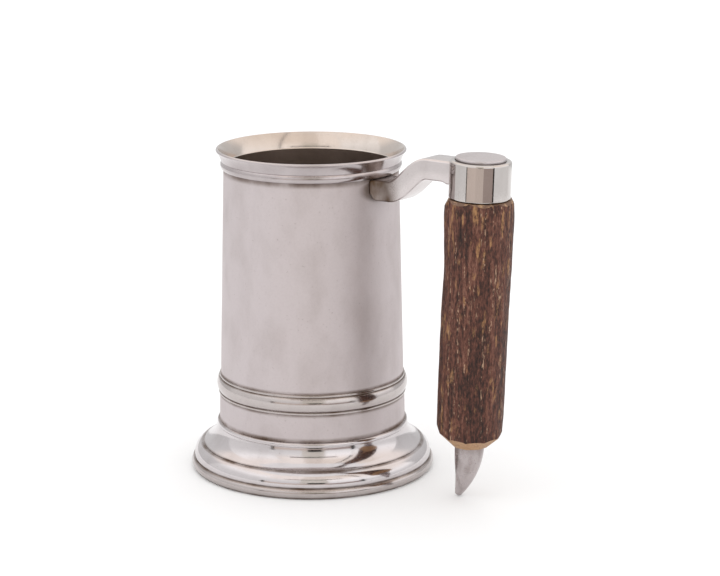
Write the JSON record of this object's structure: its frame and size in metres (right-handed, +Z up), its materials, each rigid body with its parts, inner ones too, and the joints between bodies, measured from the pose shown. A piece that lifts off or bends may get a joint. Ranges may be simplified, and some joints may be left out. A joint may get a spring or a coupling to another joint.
{
  "type": "tankard",
  "caption": "Tapered metal tankard with a flared lip, a banded waist and a stepped foot, and an upright horn grip hung from a bracket arm and ending in a curved metal spur.",
  "frame": {"origin": "on the drum's axis at table level, in the middle of the ring that the foot stands on", "axes": "+Z up, +X from the drum's axis towards the grip, +Y to the left of a person who looks along +X"},
  "size_m": [0.1536, 0.1056, 0.1455],
  "materials": {
    "satin_pewter": "satin",
    "polished_pewter": "polished",
    "rod_steel": "plain turned",
    "antler": "natural rough surface"
  },
  "bodies": {
    "root": {"drum": "satin_pewter", "lip_collar": "polished_pewter", "drum_band": "polished_pewter", "floor_disc": "satin_pewter", "foot_skirt": "satin_pewter", "foot_ring": "polished_pewter", "handle_arm": "polished_pewter", "socket": "polished_pewter", "socket_cap": "polished_pewter", "rod_nut": "rod_steel", "rod_washer": "rod_steel", "tie_rod": "rod_steel", "grip": "antler", "spur": "satin_pewter"}
  },
  "joints": []
}
